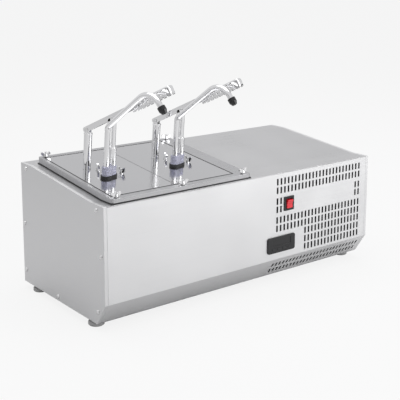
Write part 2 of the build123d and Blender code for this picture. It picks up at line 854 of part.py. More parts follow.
def make_lever(index):
    """Folded lever arm with lugs for the rod's pin, and a perforated grip."""
    half = lever_width / 2
    inner = half - lever_sheet
    arm_end = lever_length - grip_length + 8
    arm = block(-half, half, -lever_tail, arm_end, -lever_drop, lever_rise)
    reach_low = rod_pin_reach(lever_angle - lever_press)
    reach_high = rod_pin_reach(lever_angle)
    lug_top = -lever_drop + 1
    lug = [(reach_low - lever_lug_reach, lug_top), (reach_low - lever_lug_reach + 4, -lever_lug_drop),
           (reach_high + lever_lug_reach - 4, -lever_lug_drop), (reach_high + lever_lug_reach, lug_top)]
    arm += along_x(lug, -half, half)
    arm -= block(-inner, inner, -lever_tail - 1, arm_end + 1, -lever_lug_drop - 1, lever_rise - lever_sheet)
    rear_radius = (lever_rise + lever_drop) / 2
    rear_y = rear_radius - lever_tail
    rear = block(-half - 1, half + 1, -lever_tail - 1, rear_y, -lever_drop - 1, lever_rise + 1)
    arm -= rear - cylinder_x(2 * rear_radius, -half - 1, half + 1, rear_y, (lever_rise - lever_drop) / 2)
    slot_y = (reach_low + reach_high) / 2
    slot_width_here = rod_pin_diameter + 2 * rod_pin_clearance
    slot = SlotCenterToCenter(reach_high - reach_low + 1, slot_width_here)
    slot = Location((-half - 1, slot_y, -lever_pin_drop)) * extrude(Plane.YZ * slot, amount=lever_width + 2)
    arm -= slot
    arm -= cylinder_x(pivot_diameter + 2 * running_fit, -half - 1, half + 1)

    gw = grip_width / 2
    top = lever_rise + lever_sheet
    low = top - grip_height
    start = lever_length - grip_length
    notch_count = grip_hole_columns
    grip = block(-gw, gw, start, lever_length, low, top)
    grip = fillet(grip.edges().filter_by(Axis.Y).sort_by(Axis.Z)[-2:], 3.5)
    corner_edges = grip.edges().filter_by(Axis.X).filter_by(lambda e: e.center().Y > lever_length - 1)
    grip = fillet(corner_edges, 4)
    front_wall = lever_sheet
    grip -= block(-gw + lever_sheet, gw - lever_sheet, start - 1, lever_length - front_wall, low - 1,
                  top - lever_sheet)
    pitch = (grip_length - 8) / grip_hole_columns
    for column in range(grip_hole_columns):
        y = start + 4 + pitch * (column + 0.5)
        for row in range(grip_hole_rows):
            z = low + grip_height * (0.42 + 0.32 * row)
            shift = pitch / 4 if row else -pitch / 4
            grip -= cylinder_x(grip_hole, -gw - 1, gw + 1, y + shift, z)
        grip -= cylinder_x(grip_notch * 1.6, -gw - 1, gw + 1, y, low)
    return lever_plane(index) * (arm + grip)


def wing_nut(stud_diameter, span, height):
    """Wing nut on its seat at z = 0, wings along x."""
    bore = stud_diameter + 2 * nut_bore_clearance
    r = nut_hub_diameter / 2
    hub = turned([(bore / 2, 0), (r, 0), (r, 1.2), (r - 0.8, nut_hub_height), (bore / 2, nut_hub_height)])
    tip = span / 2
    wing = [(r - 2, 0.8), (r + 1.5, 1.6), (tip - 0.6, height - 6), (tip, height - 2),
            (tip - 2.4, height), (tip - 5.0, height - 1.6), (r - 1.6, nut_hub_height - 0.4)]
    blade = make_face(Polyline(*wing, close=True))
    blade = extrude(Plane.XZ * blade, amount=nut_wing_thickness / 2, both=True)
    nut = hub + blade + mirror(blade, Plane.YZ)
    return nut - cylinder_z(bore, -1, height + 1)


def frame_nut(place, turn):
    x, y = place
    seat_z = deck_z(y) + frame_rise + frame_nut_lift
    return Location((x, y, seat_z), (0, 0, turn)) * wing_nut(frame_stud_diameter, frame_nut_span, frame_nut_height)


def pump_nut(index, stud, turn):
    place = pump_plane(index).location * Location((stud[0], stud[1], 0.0), (0, 0, turn))
    return place * wing_nut(pump_stud_diameter, pump_nut_span, pump_nut_height)


# Controller and switch
def make_controller():
    x, z = controller_x, controller_z + floor_z
    plate = Plane(origin=(x, 0, z), x_dir=(1, 0, 0), z_dir=(0, -1, 0))
    bezel = extrude(plate * RectangleRounded(controller_width, controller_height, controller_corner),
                    amount=controller_rim_thickness)
    bezel = fillet(bezel.faces().sort_by(Axis.Y)[0].edges(), 0.8)
    half_w = controller_width / 2 - controller_rim
    half_h = controller_height / 2 - controller_rim
    housing = bezel + block(x - half_w, x + half_w, -0.5, controller_body_depth, z - half_h, z + half_h)
    front = -controller_rim_thickness
    display_z = z + display_rise
    housing -= block(x - display_width / 2, x + display_width / 2, front - 1, front + display_recess,
                     display_z - display_height / 2, display_z + display_height / 2)
    gap = controller_button_gap
    for bx, bz in button_places():
        half_bw = controller_button_width / 2 + gap
        half_bh = controller_button_height / 2 + gap
        housing -= block(bx - half_bw, bx + half_bw, front - 1, front + 4.0, bz - half_bh, bz + half_bh)
    return housing


def button_places():
    z = controller_z + floor_z - controller_button_drop
    middle = (controller_button_count - 1) / 2
    return [(controller_x + (i - middle) * controller_button_pitch, z) for i in range(controller_button_count)]


def make_button(place):
    x, z = place
    front = -controller_rim_thickness - controller_button_proud
    back = -controller_rim_thickness + 4.0 - controller_button_travel - controller_button_gap
    key = block(x - controller_button_width / 2, x + controller_button_width / 2, front, back,
                z - controller_button_height / 2, z + controller_button_height / 2)
    return fillet(key.faces().sort_by(Axis.Y)[0].edges(), 0.5)


def make_switch_bezel():
    x, z = switch_x, switch_z + floor_z
    plate = Plane(origin=(x, 0, z), x_dir=(1, 0, 0), z_dir=(0, -1, 0))
    rim = extrude(plate * RectangleRounded(switch_width, switch_height, 2.0), amount=switch_rim_thickness)
    rim = fillet(rim.faces().sort_by(Axis.Y)[0].edges(), 0.7)
    half_w = switch_width / 2 - switch_rim
    half_h = switch_height / 2 - switch_rim
    body = rim + block(x - half_w, x + half_w, -0.5, switch_body_depth, z - half_h, z + half_h)
    wall = switch_wall
    body -= block(x - half_w + wall, x + half_w - wall, -switch_rim_thickness - 1, rocker_radius + 3,
                  z - half_h + wall, z + half_h - wall)
    for side in (-1, 1):
        boss = cylinder_x(3.0, 0, 1.0, 0, 0)
        edge = x + side * (half_w - wall)
        start = edge - 0.9 if side > 0 else edge - 0.1
        body += Location((start, rocker_axis_y, z)) * boss
    return body


def make_switch_rocker():
    x, z = switch_x, switch_z + floor_z
    wall = switch_wall
    half_w = switch_width / 2 - switch_rim - wall - rocker_gap - 0.7
    half_h = switch_height / 2 - switch_rim - wall - rocker_gap
    front = -switch_rim_thickness - rocker_proud
    outline = [(front, -half_h + 1.6), (front + 1.9, 0), (front, half_h - 1.6), (front + 1.2, half_h - 1.0),
               (rocker_axis_y - 1, half_h - 1.4), (rocker_axis_y + 5.5, 3), (rocker_axis_y + 5.5, -3),
               (rocker_axis_y - 1, -half_h + 1.4), (front + 1.2, -half_h + 1.0)]
    rocker = along_x(outline, -half_w, half_w)
    rocker -= cylinder_x(3.0 + 2 * running_fit, -half_w - 1, half_w + 1, rocker_axis_y, 0)
    pressed = Location((0, rocker_axis_y, 0), (rocker_throw, 0, 0)) * Location((0, -rocker_axis_y, 0))
    return Location((x, 0, z)) * pressed * rocker


# Machine compartment
def make_bulkhead():
    wall = cabinet_prism(2 * sheet + seam + 0.3, bulkhead_x, bulkhead_x + sheet)
    wall = wall & block(0, length, 18, depth, 0, cutter_top)
    front = chamfer_depth + bulkhead_foot_inset
    rear = depth - bulkhead_foot_inset
    foot = block(bulkhead_x, bulkhead_x + bulkhead_foot, front, rear, bottom_edge, bottom_edge + sheet)
    wall += block(bulkhead_x, bulkhead_x + sheet, front, rear, bottom_edge, floor_z + 8)
    hole = cylinder_x(pipe_diameter + 3, bulkhead_x - 2, bulkhead_x + 4, suction_y, suction_z)
    return wall + foot - hole


def make_compressor():
    r = compressor_diameter / 2
    h = compressor_height
    seam_z = h * 0.56
    lip = compressor_seam_lip
    outline = [(0, 0), (r * 0.62, 0), (r * 0.93, 7), (r, 20), (r, seam_z - compressor_seam_height / 2),
               (r + lip, seam_z - compressor_seam_height / 2), (r + lip, seam_z + compressor_seam_height / 2),
               (r, seam_z + compressor_seam_height / 2), (r * 0.985, h - 26), (r * 0.86, h - 9), (r * 0.5, h), (0, h)]
    stand = floor_z + compressor_stand
    body = Location((compressor_x, compressor_y, stand)) * turned(outline)
    plate_z = stand + 2
    plate = Location((compressor_x, compressor_y, plate_z)) * extrude(
        RectangleRounded(compressor_plate_length - 14, compressor_plate_width, 12), amount=compressor_plate_thickness)
    body += plate
    box = block(compressor_x - r - 16, compressor_x - r + 10, compressor_y - 24, compressor_y + 24,
                stand + 38, stand + 88)
    body += fillet(box.edges().filter_by(Axis.Z), 4)
    post_bottom = bottom_edge
    for sx in (-1, 1):
        for sy in (-1, 1):
            px = compressor_x + sx * (compressor_plate_length / 2 - 16)
            py = compressor_y + sy * (compressor_plate_width / 2 - 12)
            body += cylinder_z(15, post_bottom, plate_z, px, py)
            body += cylinder_z(8, plate_z, plate_z + 9, px, py)
    return body


def condenser_box():
    x0 = condenser_x - condenser_width / 2
    y1 = depth - condenser_rear_gap
    z0 = floor_z + condenser_lift
    return x0, x0 + condenser_width, y1 - condenser_thickness, y1, z0, z0 + condenser_height


def make_condenser():
    x0, x1, y0, y1, z0, z1 = condenser_box()
    t = condenser_side_sheet
    core = block(x0, x0 + t, y0, y1, bottom_edge, z1) + block(x1 - t, x1, y0, y1, bottom_edge, z1)
    pitch = (condenser_width - 2 * t) / (condenser_fins + 1)
    for i in range(condenser_fins):
        x = x0 + t + pitch * (i + 1)
        core += block(x - condenser_fin_sheet / 2, x + condenser_fin_sheet / 2, y0 + 1, y1 - 1, z0, z1)
    row_pitch = condenser_height / condenser_tube_rows
    for row in range(condenser_tube_rows):
        z = z0 + row_pitch * (row + 0.5)
        core += cylinder_x(condenser_tube_diameter, x0 - 6, x1 + 6, (y0 + y1) / 2, z)
    for row in range(condenser_tube_rows - 1):
        z = z0 + row_pitch * (row + 1)
        x = x1 + 6 if row % 2 == 1 else x0 - 6
        side = 1 if row % 2 == 1 else -1
        ring = Location((x, (y0 + y1) / 2, z), (90, 0, 0)) * Torus(row_pitch / 2, condenser_tube_diameter / 2)
        near, far = sorted((x, x + side * (row_pitch / 2 + condenser_tube_diameter)))
        core += ring & block(near, far, y0, y1, z - row_pitch, z + row_pitch)
    return core


def fan_centre():
    x0, x1, y0, y1, z0, z1 = condenser_box()
    return (x0 + x1) / 2, y0 - fan_thickness, (z0 + z1) / 2


def make_fan_frame():
    x0, x1, y0, y1, z0, z1 = condenser_box()
    cx, fy, cz = fan_centre()
    box = block(x0, x1, fy, y0 - 0.2, z0, z1)
    box = fillet(box.edges().filter_by(Axis.Y), 6)
    frame = box - cylinder_y(fan_opening, fy - 1, y0 + 1, cx, cz)
    frame += cylinder_y(fan_motor_diameter, fy, fy + 13, cx, cz)
    for i in range(4):
        strut = block(fan_motor_diameter / 2 - 3, fan_opening / 2 + 2, 0, 4, -2.5, 2.5)
        frame += Location((cx, fy, cz), (0, 45 + 90 * i, 0)) * strut
    frame += cylinder_y(fan_shaft_diameter, fy + 12, y0 - 6, cx, cz)
    return frame


def make_fan_blades():
    x0, x1, y0, y1, z0, z1 = condenser_box()
    cx, fy, cz = fan_centre()
    start = fy + 13.6
    end = y0 - 4
    tip = fan_opening / 2 - fan_blade_clearance
    hub_r = fan_hub_diameter / 2
    hub = cylinder_y(fan_hub_diameter, start, end, cx, cz)
    hub = fillet(hub.edges().sort_by(Axis.Y)[-1:], 3)
    mid = (start + end) / 2
    pitch = math.radians(fan_blade_pitch)
    tip_chord = (end - start) / math.sin(pitch) * 0.96
    root_chord = tip_chord * 0.6
    outline = [(-root_chord / 2, hub_r - 3), (root_chord / 2, hub_r - 3), (tip_chord / 2, tip - 2),
               (-tip_chord / 2, tip - 2)]
    shape = make_face(Polyline(*outline, close=True))
    shape = fillet(shape.vertices().sort_by(Axis.Y)[-2:], 7)
    blade_plane = Plane(origin=(0, 0, 0), x_dir=(math.cos(pitch), math.sin(pitch), 0),
                        z_dir=(math.sin(pitch), -math.cos(pitch), 0))
    blade = extrude(blade_plane * shape, amount=fan_blade_sheet / 2, both=True)
    rotor = hub
    for i in range(fan_blade_count):
        rotor += Location((cx, mid, cz), (0, 360 / fan_blade_count * i, 0)) * blade
    bore = cylinder_y(fan_shaft_diameter + 2 * running_fit, start - 1, y0 - 5.5, cx, cz)
    limit = cylinder_y(2 * tip, start, end, cx, cz)
    return (rotor & limit) - bore


# Power inlet
def make_power_inlet():
    x, z = inlet_x, inlet_z + floor_z
    w, h = inlet_width / 2, inlet_height / 2
    outer = depth + inlet_flange_thickness
    body = block(x - w, x + w, depth - inlet_depth, depth, z - h, z + h)
    body += block(x - w - inlet_flange, x + w + inlet_flange, depth, outer, z - h - 2, z + h + 2)
    mouth = block(x - w + 2.5, x + w - 2.5, depth - inlet_depth + 4, outer + 1, z - h + 2.5, z + h - 2.5)
    chamfered = mouth.edges().filter_by(Axis.Y).sort_by(Axis.Z)[-2:]
    body -= chamfer(chamfered, 5)
    for dx, dz in ((-inlet_pin_spacing, -2.0), (0, 2.0), (inlet_pin_spacing, -2.0)):
        px = inlet_pin_width / 2
        pz = inlet_pin_height / 2
        body += block(x + dx - px, x + dx + px, depth - inlet_depth + 3, depth - 3, z + dz - pz, z + dz + pz)
    for side in (-1, 1):
        body -= cylinder_y(3.4, depth - 1, outer + 1, x + side * (w + inlet_flange / 2), z)
    return body


# Assembly
def gather():
    nodes = {
        "base_pan": make_base_pan(),
        "front_panel": make_front_panel(),
        "left_end_panel": end_panel(0.0, 1),
        "right_end_panel": end_panel(length, -1),
        "back_panel": make_back_panel(),
        "top_deck": make_top_deck(),
        "end_panel_screws": panel_screws(0.0, 1) + panel_screws(length, -1),
        "feet": make_feet(),
        "well": make_well(),
        "insulation": make_insulation(),
        "evaporator_coil": make_evaporator_coil(),
        "lid_frame": make_lid_frame(),
        "pan_ledge": make_pan_ledge(),
        "bulkhead": make_bulkhead(),
        "compressor": make_compressor(),
        "condenser": make_condenser(),
        "fan_frame": make_fan_frame(),
        "fan_blades": make_fan_blades(),
        "controller": make_controller(),
        "switch_bezel": make_switch_bezel(),
        "switch_rocker": make_switch_rocker(),
        "power_inlet": make_power_inlet(),
    }
    for i, place in enumerate(button_places()):
        nodes[f"controller_button_{i + 1}"] = make_button(place)
    for i, place in enumerate(frame_stud_places()):
        nodes[f"frame_wing_nut_{i + 1}"] = frame_nut(place, frame_nut_turns[i])
    for i, name in enumerate(pump_names):
        nodes[f"{name}_pan"] = make_pan(i)
        nodes[f"{name}_lid"] = make_lid(i)
        nodes[f"{name}_pump_mount"] = make_pump_mount(i)
        nodes[f"{name}_pump_cylinder"] = make_cylinder(i)
        nodes[f"{name}_spout"] = make_spout(i)
        nodes[f"{name}_nozzle"] = make_nozzle(i)
        nodes[f"{name}_collar"] = make_collar(i)
        nodes[f"{name}_seals"] = make_seals(i)
        nodes[f"{name}_piston_rod"] = make_piston_rod(i)
        nodes[f"{name}_return_spring"] = make_spring(i)
        nodes[f"{name}_lever"] = make_lever(i)
        nodes[f"{name}_lever_pin"] = make_lever_pin(i)
        nodes[f"{name}_wing_nut_rear"] = pump_nut(i, stud_a, 55)
        nodes[f"{name}_wing_nut_side"] = pump_nut(i, stud_b, 100)
    return nodes


def solids_of(shape):
    if isinstance(shape, list):
        return [solid for item in shape for solid in solids_of(item)]
    return list(shape.solids())


nodes = gather()
nozzle_tip = min(nodes[f"{name}_nozzle"].bounding_box().min.Y for name in pump_names)
datum_x = length / 2
datum_y = (nozzle_tip + depth + inlet_flange_thickness) / 2
to_datum = Location((-datum_x, -datum_y, 0))
os.makedirs("parts", exist_ok=True)
for node_name, shape in nodes.items():
    solids = [to_datum * solid for solid in solids_of(shape)]
    export_step(solids[0] if len(solids) == 1 else Compound(children=solids), f"parts/{node_name}.step")
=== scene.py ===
import json
import math

import bpy
from mathutils import Matrix, Vector


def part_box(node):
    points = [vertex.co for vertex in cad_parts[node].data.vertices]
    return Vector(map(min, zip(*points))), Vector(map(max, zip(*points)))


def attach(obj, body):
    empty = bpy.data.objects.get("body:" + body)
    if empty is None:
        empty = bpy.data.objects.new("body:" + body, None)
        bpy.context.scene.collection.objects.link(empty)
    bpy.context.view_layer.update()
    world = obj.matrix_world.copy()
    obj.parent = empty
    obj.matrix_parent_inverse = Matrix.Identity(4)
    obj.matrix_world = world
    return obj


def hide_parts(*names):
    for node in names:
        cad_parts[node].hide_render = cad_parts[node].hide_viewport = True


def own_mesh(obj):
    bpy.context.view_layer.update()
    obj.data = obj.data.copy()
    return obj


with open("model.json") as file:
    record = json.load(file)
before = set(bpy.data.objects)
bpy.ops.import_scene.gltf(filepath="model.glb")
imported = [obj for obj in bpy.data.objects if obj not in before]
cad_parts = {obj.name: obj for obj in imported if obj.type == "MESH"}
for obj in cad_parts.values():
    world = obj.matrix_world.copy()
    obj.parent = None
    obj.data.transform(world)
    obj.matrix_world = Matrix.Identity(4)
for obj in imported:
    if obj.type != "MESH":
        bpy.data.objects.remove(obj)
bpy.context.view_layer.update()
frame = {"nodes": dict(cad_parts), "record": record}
nodes = frame["nodes"]
joints = {joint["name"]: joint for joint in frame["record"]["behaviour"]["joints"]}
scene = bpy.context.scene

SIDES = ("left", "right")
FRONT_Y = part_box("front_panel")[0].y
LEFT_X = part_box("left_end_panel")[0].x


# Materials
NOISE_LOW = 0.3
NOISE_HIGH = 0.7
BEVEL_SAMPLES = 4
COLOR_OUTPUT = 2


class Shader:
    """A node material with a Principled shader and short helpers for its nodes."""

    def __init__(self, name, color, rough, metallic=0.0):
        self.material = bpy.data.materials.new(name)
        self.material.use_nodes = True
        self.tree = self.material.node_tree
        self.main = self.tree.nodes["Principled BSDF"]
        self.set("Base Color", (*color, 1.0))
        self.set("Roughness", rough)
        self.set("Metallic", metallic)
        self.coords = self.tree.nodes.new("ShaderNodeTexCoord")
        self.normal = None

    def set(self, socket, value):
        self.main.inputs[socket].default_value = value

    def link(self, a, b):
        self.tree.links.new(a, b)

    def math(self, operation, a, b):
        node = self.tree.nodes.new("ShaderNodeMath")
        node.operation = operation
        for i, value in enumerate((a, b)):
            if isinstance(value, bpy.types.NodeSocket):
                self.link(value, node.inputs[i])
            else:
                node.inputs[i].default_value = value
        return node.outputs[0]

    def noise(self, scale, stretch=(1, 1, 1), detail=3.0):
        mapping = self.tree.nodes.new("ShaderNodeMapping")
        mapping.inputs["Scale"].default_value = stretch
        self.link(self.coords.outputs["Object"], mapping.inputs["Vector"])
        node = self.tree.nodes.new("ShaderNodeTexNoise")
        node.inputs["Scale"].default_value = scale
        node.inputs["Detail"].default_value = detail
        self.link(mapping.outputs["Vector"], node.inputs["Vector"])
        return node.outputs["Fac"]

    def ramp(self, value, out_low, out_high, low=NOISE_LOW, high=NOISE_HIGH):
        node = self.tree.nodes.new("ShaderNodeMapRange")
        self.link(value, node.inputs["Value"])
        node.inputs["From Min"].default_value = low
        node.inputs["From Max"].default_value = high
        node.inputs["To Min"].default_value = out_low
        node.inputs["To Max"].default_value = out_high
        return node.outputs["Result"]

    def vary_color(self, value, first, second):
        node = self.tree.nodes.new("ShaderNodeMix")
        node.data_type = "RGBA"
        ends = {"A": first, "B": second}
        for socket in node.inputs:
            if socket.type == "RGBA" and socket.name in ends:
                socket.default_value = (*ends[socket.name], 1.0)
        self.link(value, node.inputs["Factor"])
        self.link(node.outputs[COLOR_OUTPUT], self.main.inputs["Base Color"])

    def vary_roughness(self, value):
        self.link(value, self.main.inputs["Roughness"])

    def bump(self, value, distance, strength):
        node = self.tree.nodes.new("ShaderNodeBump")
        node.inputs["Distance"].default_value = distance
        node.inputs["Strength"].default_value = strength
        self.link(value, node.inputs["Height"])
        if self.normal is not None:
            self.link(self.normal, node.inputs["Normal"])
        self.normal = node.outputs["Normal"]
        self.link(self.normal, self.main.inputs["Normal"])

    def soften_edges(self, radius):
        node = self.tree.nodes.new("ShaderNodeBevel")
        node.samples = BEVEL_SAMPLES
        node.inputs["Radius"].default_value = radius
        self.normal = node.outputs["Normal"]
        self.link(self.normal, self.main.inputs["Normal"])


def shade(color, factor):
    return tuple(c * factor for c in color)


def brushed(name, color, rough, stretch, spread=0.06, edge=0.0006):
    """Brushed sheet: fine lines along the axis with the small stretch, and faint cloudy wear."""
    line_share, cloud_share, cloud_wear = 0.6, 0.4, 0.04
    s = Shader(name, color, rough, metallic=1.0)
    s.soften_edges(edge)
    lines = s.noise(scale=1.0, stretch=stretch, detail=2.0)
    clouds = s.noise(scale=9.0, detail=4.0)
    pattern = s.math("ADD", s.math("MULTIPLY", lines, line_share), s.math("MULTIPLY", clouds, cloud_share))
    s.vary_color(pattern, shade(color, 0.94), shade(color, 1.05))
    line_rough = s.ramp(lines, -spread, spread)
    cloud_rough = s.ramp(clouds, rough - cloud_wear, rough + cloud_wear)
    s.vary_roughness(s.math("ADD", line_rough, cloud_rough))
    s.bump(lines, distance=0.00003, strength=0.5)
    return s.material


def polished(name, color, rough):
    """Polished metal with faint smears and hairlines."""
    s = Shader(name, color, rough, metallic=1.0)
    s.soften_edges(0.0004)
    smears = s.noise(scale=28.0, stretch=(1, 1, 0.4), detail=5.0)
    s.vary_roughness(s.ramp(smears, rough * 0.7, rough * 1.7, low=0.35, high=0.75))
    s.vary_color(smears, shade(color, 0.97), shade(color, 1.02))
    s.bump(s.noise(scale=600.0, detail=2.0), distance=0.000006, strength=0.4)
    return s.material


def moulded(name, color, rough, grain=2400.0, depth=0.00004):
    """Moulded plastic or rubber with a fine grain."""
    cloud_wear = 0.05
    s = Shader(name, color, rough)
    s.soften_edges(0.0004)
    clouds = s.noise(scale=35.0, detail=4.0)
    s.vary_color(clouds, shade(color, 0.88), shade(color, 1.12))
    s.vary_roughness(s.ramp(clouds, rough - cloud_wear, rough + cloud_wear))
    s.bump(s.noise(scale=grain, detail=2.0), distance=depth, strength=0.6)
    return s.material


def glossy_plastic(name, color, rough, edge, clouds_scale, colors, roughs, grain, sockets):
    """Smooth plastic whose colour and gloss drift between two ends."""
    s = Shader(name, color, rough)
    s.soften_edges(edge)
    for socket, value in sockets.items():
        s.set(socket, value)
    clouds = s.noise(scale=clouds_scale)
    s.vary_color(clouds, *colors)
    s.vary_roughness(s.ramp(clouds, *roughs))
    s.bump(s.noise(scale=grain), distance=0.00001, strength=0.5)
    return s.material


def make_foam():
    """Rigid foam with open cells."""
    s = Shader("foam", (0.83, 0.72, 0.45), 0.9)
    cells = s.noise(scale=420.0, detail=5.0)
    s.vary_color(cells, (0.72, 0.6, 0.35), (0.88, 0.79, 0.55))
    s.vary_roughness(s.ramp(cells, 0.82, 0.97))
    s.bump(cells, distance=0.0005, strength=0.8)
    return s.material


STEEL = (0.66, 0.66, 0.665)
ALONG_X = (3.0, 900.0, 900.0)
ALONG_Y = (900.0, 3.0, 900.0)
ALONG_Z = (900.0, 900.0, 3.0)

sheet_x = brushed("sheet_x", STEEL, 0.38, ALONG_X)
sheet_front = brushed("sheet_front", (0.78, 0.78, 0.785), 0.42, ALONG_X, edge=0.0002)
sheet_end = brushed("sheet_end", (0.74, 0.74, 0.745), 0.46, ALONG_Y)
deck_steel = brushed("deck_steel", (0.62, 0.62, 0.625), 0.34, ALONG_X, spread=0.05)
frame_steel = brushed("frame_steel", (0.52, 0.52, 0.53), 0.28, ALONG_X, spread=0.03, edge=0.0003)
lid_steel = brushed("lid_steel", (0.62, 0.62, 0.63), 0.13, ALONG_Y, spread=0.02)
inner_steel = brushed("inner_steel", (0.55, 0.55, 0.56), 0.4, ALONG_Z)
chrome = polished("chrome", (0.88, 0.88, 0.885), 0.06)
screw_steel = polished("screw_steel", (0.8, 0.8, 0.8), 0.16)
black_plastic = moulded("black_plastic", (0.012, 0.012, 0.013), 0.5)
black_gloss = moulded("black_gloss", (0.012, 0.012, 0.013), 0.2, depth=0.00001)
rubber = moulded("rubber", (0.02, 0.02, 0.021), 0.6, grain=1500.0)
foot_grey = moulded("foot_grey", (0.36, 0.36, 0.36), 0.5, grain=1500.0)
copper = polished("copper", (0.72, 0.38, 0.24), 0.24)
shell_black = moulded("shell_black", (0.015, 0.015, 0.016), 0.24, grain=260.0, depth=0.0001)
fin_metal = brushed("fin_metal", (0.7, 0.7, 0.72), 0.36, ALONG_Z)
red_plastic = glossy_plastic(
    "red_plastic", (0.74, 0.012, 0.025), 0.22, edge=0.0005, clouds_scale=60.0,
    colors=((0.62, 0.008, 0.02), (0.8, 0.02, 0.035)), roughs=(0.16, 0.28), grain=1800.0,
    sockets={"Coat Weight": 0.5})
collar_plastic = glossy_plastic(
    "collar_plastic", (0.66, 0.66, 0.8), 0.28, edge=0.0006, clouds_scale=90.0,
    colors=((0.6, 0.61, 0.76), (0.72, 0.72, 0.84)), roughs=(0.2, 0.34), grain=1200.0,
    sockets={"Transmission Weight": 0.5, "IOR": 1.45})
foam = make_foam()

FRAME_NUTS = 6
CONTROLLER_BUTTONS = 4
NODE_MATERIALS = {
    "base_pan": inner_steel, "front_panel": sheet_front, "left_end_panel": sheet_end,
    "right_end_panel": sheet_end, "back_panel": sheet_x, "top_deck": deck_steel,
    "end_panel_screws": screw_steel, "feet": foot_grey, "well": inner_steel, "insulation": foam,
    "evaporator_coil": copper, "lid_frame": frame_steel, "bulkhead": inner_steel,
    "compressor": shell_black, "condenser": fin_metal, "fan_frame": black_plastic,
    "fan_blades": black_plastic, "controller": black_plastic, "switch_bezel": black_gloss,
    "switch_rocker": red_plastic, "power_inlet": black_plastic, "pan_ledge": rubber,
}
PUMP_MATERIALS = {
    "pan": inner_steel, "lid": lid_steel, "pump_mount": chrome, "pump_cylinder": chrome,
    "spout": chrome, "nozzle": black_gloss, "collar": collar_plastic, "seals": rubber,
    "piston_rod": chrome, "return_spring": screw_steel, "lever": chrome, "lever_pin": screw_steel,
    "wing_nut_rear": chrome, "wing_nut_side": chrome,
}
for side in SIDES:
    for kind, material in PUMP_MATERIALS.items():
        NODE_MATERIALS[f"{side}_{kind}"] = material
for number in range(1, FRAME_NUTS + 1):
    NODE_MATERIALS[f"frame_wing_nut_{number}"] = chrome
for number in range(1, CONTROLLER_BUTTONS + 1):
    NODE_MATERIALS[f"controller_button_{number}"] = rubber

for name, node in nodes.items():
    node.data.materials.clear()
    node.data.materials.append(NODE_MATERIALS[name])


# Small pieces that the CAD leaves to the scene
DECK_FRONT_HEIGHT = 0.243
DECK_STRIP = 0.043
DECK_RISE = 0.025
DECK_RUN = 0.232
SLOPE_START = FRONT_Y + DECK_STRIP
# Width and height of the dark strip of painted shade under the lid frame's walls
SHADE_STRIP_WIDTH = 0.0007
SHADE_STRIP_HEIGHT = 0.002
LID_FRAME_RISE = 0.0135
# Width and height of the dark lip of painted shade round the lids
SHADE_LIP_WIDTH = 0.0016
SHADE_LIP_HEIGHT = 0.0004
ROD_EYE = 0.009
END_FACE_DEPTH = 0.00001
HEAD_RADIUS = 0.0046
HEAD_INSET = 0.0009
HEAD_PROUD = 0.0005
HEAD_SIDES = 32
# Each row of the pin head's outline: its share of the radius, and its height over the pin's end
HEAD_OUTLINE = ((1.0, -HEAD_INSET), (1.0, 0.0), (0.8, 0.7 * HEAD_PROUD), (0.4, HEAD_PROUD))


def add_piece(name, vertices, faces, material, body):
    mesh = bpy.data.meshes.new(name)
    mesh.from_pydata(vertices, [], faces)
    mesh.materials.append(material)
    piece = bpy.data.objects.new(name, mesh)
    scene.collection.objects.link(piece)
    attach(piece, body)


def add_strip(name, loop, height):
    """Closed dark strip of painted shade on the cabinet, in the rubber material, from each corner's inner and
    outer point, clockwise from above.
    """
    vertices = []
    for corner in loop:
        for x, y, z in corner:
            vertices += [(x, y, z), (x, y, z + height)]
    faces = []
    for i in range(len(loop)):
        a = 4 * i
        b = 4 * ((i + 1) % len(loop))
        for j, k in ((0, 1), (1, 3), (3, 2), (2, 0)):
            faces.append((a + j, b + j, b + k, a + k))
    add_piece(name, vertices, faces, rubber, "cabinet")


def deck_height(y):
    climb = min(max(y - SLOPE_START, 0.0), DECK_RUN) / DECK_RUN
    return DECK_FRONT_HEIGHT + DECK_RISE * climb


def frame_shade_strip():
    """Dark strip of painted shade under the lid frame's walls, standing in for the shadow line of the gap
    there.
    """
    low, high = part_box("lid_frame")
    stations = [(low.y, -1), (SLOPE_START, 0), (SLOPE_START + DECK_RUN, 0), (high.y, 1)]
    corners = [(low.x, y, -1, end) for y, end in stations]
    corners += [(high.x, y, 1, end) for y, end in reversed(stations)]
    loop = []
    for x, y, side, end in corners:
        base = deck_height(y)
        loop.append(((x, y, base), (x + side * SHADE_STRIP_WIDTH, y + end * SHADE_STRIP_WIDTH, base)))
    add_strip("frame_shade_strip", loop, SHADE_STRIP_HEIGHT)


def lid_shade_lip():
    """Dark lip of painted shade on the frame's border, round the opening that the lids fill, standing in for
    the shadow line of the gap there.
    """
    low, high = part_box("pan_ledge")
    front_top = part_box("lid_frame")[0].z + LID_FRAME_RISE

    def on_border(x, y):
        return x, y, front_top + DECK_RISE / DECK_RUN * (y - SLOPE_START)

    corners = [(low.x, low.y, -1, -1), (low.x, high.y, -1, 1), (high.x, high.y, 1, 1), (high.x, low.y, 1, -1)]
    loop = []
    for x, y, side, end in corners:
        loop.append((on_border(x, y), on_border(x + side * SHADE_LIP_WIDTH, y + end * SHADE_LIP_WIDTH)))
    add_strip("lid_shade_lip", loop, SHADE_LIP_HEIGHT)


